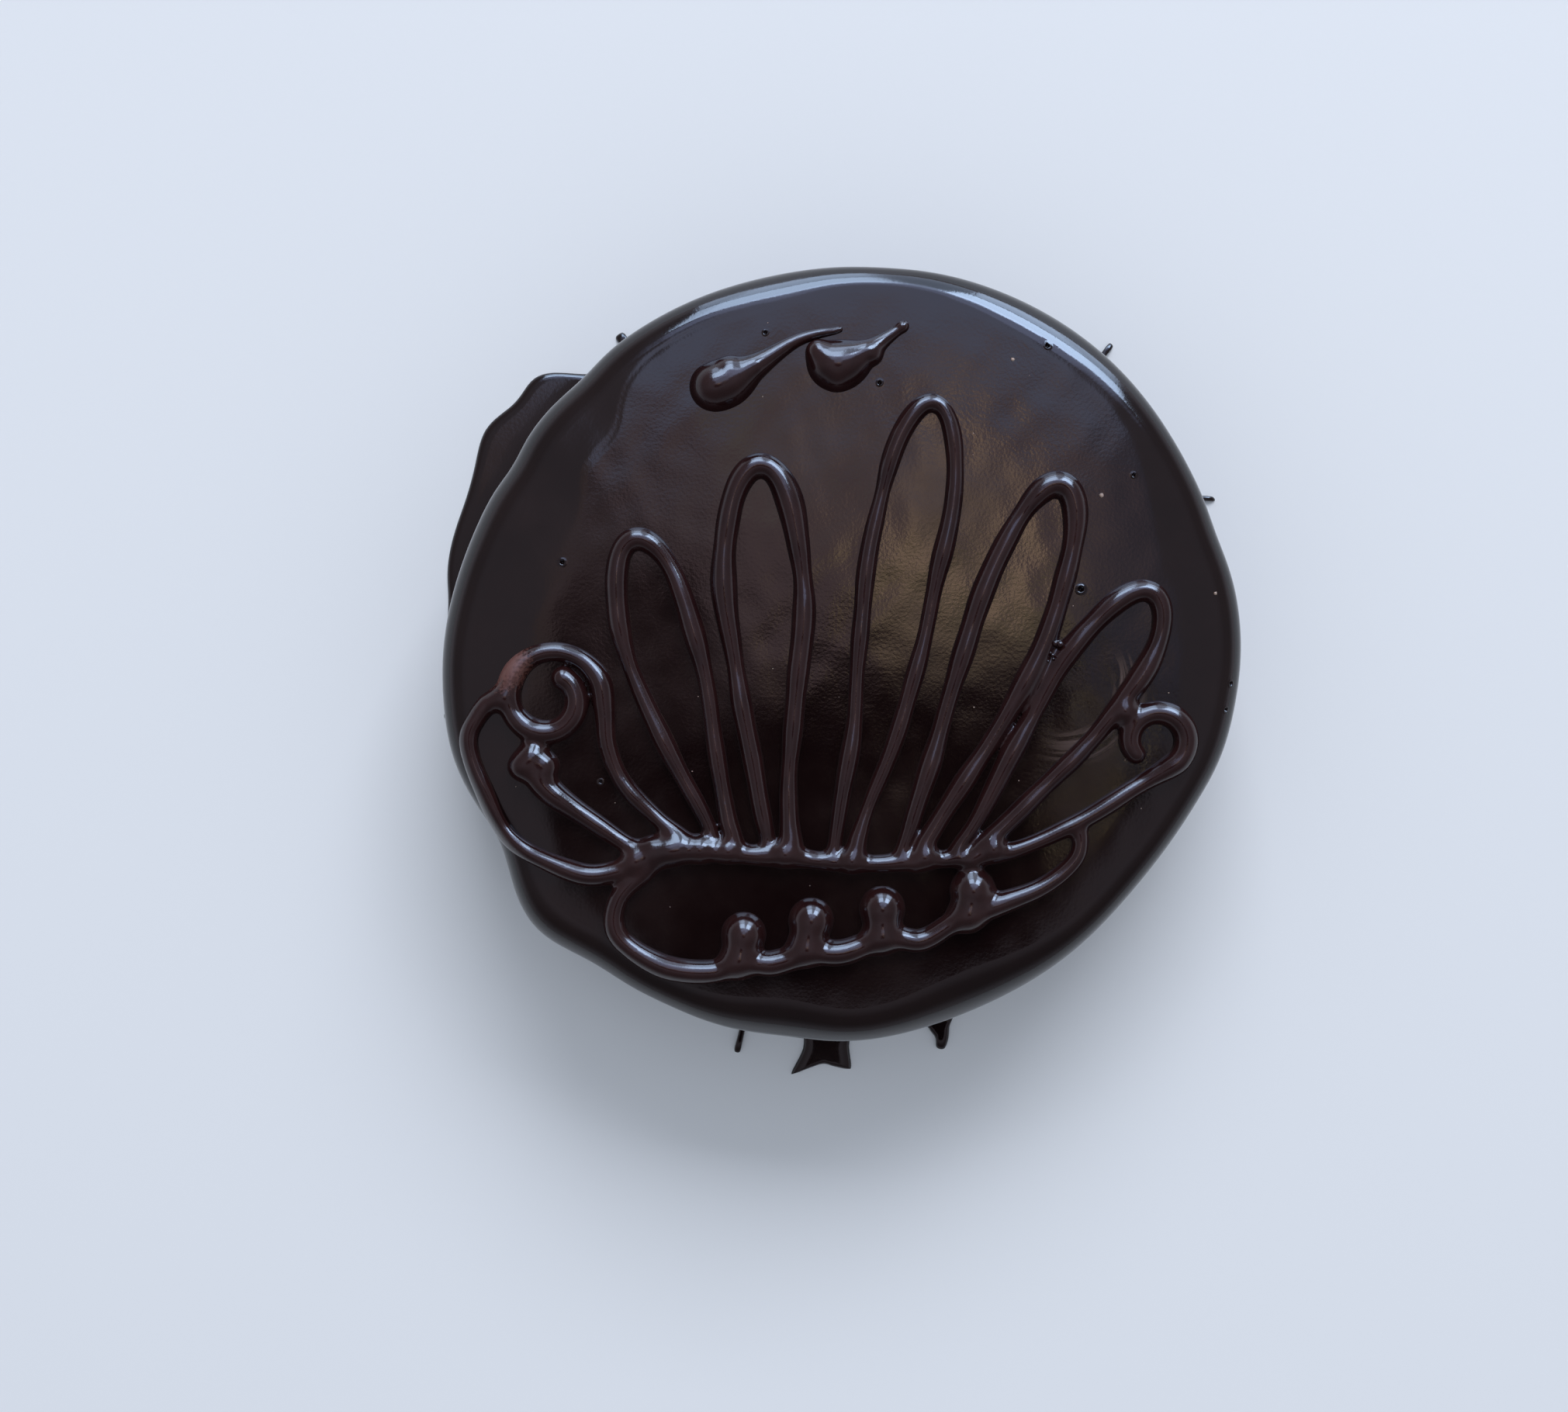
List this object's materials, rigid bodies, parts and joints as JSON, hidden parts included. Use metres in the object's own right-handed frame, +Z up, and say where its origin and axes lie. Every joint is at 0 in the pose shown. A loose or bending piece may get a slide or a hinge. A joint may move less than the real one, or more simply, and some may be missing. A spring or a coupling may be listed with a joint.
{
  "type": "sachertorte cake",
  "caption": "Whole round chocolate-glazed torte, uncut, with a fan of piped chocolate petals, a swag, scrolls and drops on its flat top.",
  "frame": {"origin": "middle of the cake's flat underside", "axes": "+Z up through the cake; +Y from the side where the eater sits towards the far side; +X to the eater's right"},
  "size_m": [0.2241, 0.229, 0.0555],
  "materials": {
    "glaze": "set chocolate glaze, near-black brown with a mirror gloss",
    "piping": "piped dark chocolate, reddish brown with a soft satin gloss"
  },
  "bodies": {
    "root": {"cake": "glaze", "petal_1": "piping", "petal_2": "piping", "petal_3": "piping", "petal_4": "piping", "petal_5": "piping", "volute": "piping", "swag": "piping", "side_loop": "piping", "side_spur": "piping", "knot": "piping", "scallops": "piping", "drop_left": "piping", "drop_right": "piping"}
  },
  "joints": []
}
